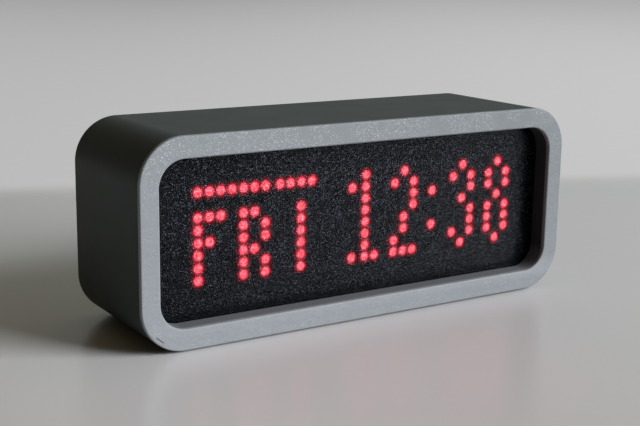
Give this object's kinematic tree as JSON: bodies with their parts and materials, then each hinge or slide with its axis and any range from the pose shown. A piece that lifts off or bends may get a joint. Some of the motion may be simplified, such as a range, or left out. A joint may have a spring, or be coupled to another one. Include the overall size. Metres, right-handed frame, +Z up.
{
  "type": "dot matrix clock",
  "caption": "Free-standing desk clock: a rounded dark case with a light grey front ring and a recessed, smoked dot matrix display, with controls at the rear.",
  "frame": {"origin": "middle of the clock's bounding box, on the surface that its feet stand on", "axes": "+X to the right of someone who reads the display, along the longest side; +Y from the display to the rear cover, along the shortest side; +Z up"},
  "size_m": [0.166, 0.0506, 0.0666],
  "materials": {
    "grey_bezel": "satin grey, finely speckled",
    "graphite_case": "satin graphite",
    "dark_frame": "satin black",
    "smoked_window": "smoked, finely textured",
    "module_black": "black face with clear lenses",
    "circuit_board": "solder mask",
    "black_plastic": "moulded",
    "graphite_cover": "fine moulded texture",
    "button_grey": "satin",
    "steel_can": "plain",
    "bright_steel": "bright",
    "screw_steel": "dark plated",
    "ribbon_grey": "flat cable",
    "foot_rubber": "matt"
  },
  "bodies": {
    "housing": {"board_connector": "black_plastic", "buzzer": "black_plastic", "case_sleeve": "graphite_case", "cell_holder": "black_plastic", "clock_chip": "black_plastic", "coin_cell": "bright_steel", "controller_module": "steel_can", "cover_screw_1": "screw_steel", "cover_screw_2": "screw_steel", "cover_screw_3": "screw_steel", "cover_screw_4": "screw_steel", "display_carrier": "dark_frame", "display_window": "smoked_window", "driver_chip_1": "black_plastic", "driver_chip_2": "black_plastic", "driver_chip_3": "black_plastic", "driver_chip_4": "black_plastic", "foot_front_left": "foot_rubber", "foot_front_right": "foot_rubber", "foot_rear_left": "foot_rubber", "foot_rear_right": "foot_rubber", "front_bezel": "grey_bezel", "led_board": "circuit_board", "led_board_screw_1": "screw_steel", "led_board_screw_2": "screw_steel", "led_board_screw_3": "screw_steel", "led_board_screw_4": "screw_steel", "led_connector": "black_plastic", "led_module_1": "module_black", "led_module_2": "module_black", "led_module_3": "module_black", "led_module_4": "module_black", "main_board": "circuit_board", "main_board_screw_1": "screw_steel", "main_board_screw_2": "screw_steel", "main_board_screw_3": "screw_steel", "main_board_screw_4": "screw_steel", "power_socket": "bright_steel", "rear_cover": "graphite_cover", "ribbon_cable": "ribbon_grey", "slide_switch": "bright_steel", "switch_alarm": "black_plastic", "switch_down": "black_plastic", "switch_set": "black_plastic", "switch_up": "black_plastic", "window_frame": "dark_frame"},
    "alarm_button": {"alarm_button": "button_grey", "plunger_alarm": "black_plastic"},
    "down_button": {"down_button": "button_grey", "plunger_down": "black_plastic"},
    "up_button": {"up_button": "button_grey", "plunger_up": "black_plastic"},
    "set_button": {"set_button": "button_grey", "plunger_set": "black_plastic"},
    "alarm_slider": {"alarm_slider": "button_grey"}
  },
  "joints": [
    {"name": "alarm_press", "type": "slide", "parent": "housing", "child": "alarm_button", "axis": [0, -1, 0], "range_m": [0, 0.0005], "stiffness_N_per_m": 1200, "springref_m": -0.0004},
    {"name": "down_press", "type": "slide", "parent": "housing", "child": "down_button", "axis": [0, -1, 0], "range_m": [0, 0.0005], "stiffness_N_per_m": 1200, "springref_m": -0.0004},
    {"name": "up_press", "type": "slide", "parent": "housing", "child": "up_button", "axis": [0, -1, 0], "range_m": [0, 0.0005], "stiffness_N_per_m": 1200, "springref_m": -0.0004},
    {"name": "set_press", "type": "slide", "parent": "housing", "child": "set_button", "axis": [0, -1, 0], "range_m": [0, 0.0005], "stiffness_N_per_m": 1200, "springref_m": -0.0004},
    {"name": "alarm_slide", "type": "slide", "parent": "housing", "child": "alarm_slider", "axis": [1, 0, 0], "range_m": [0, 0.0025]}
  ]
}
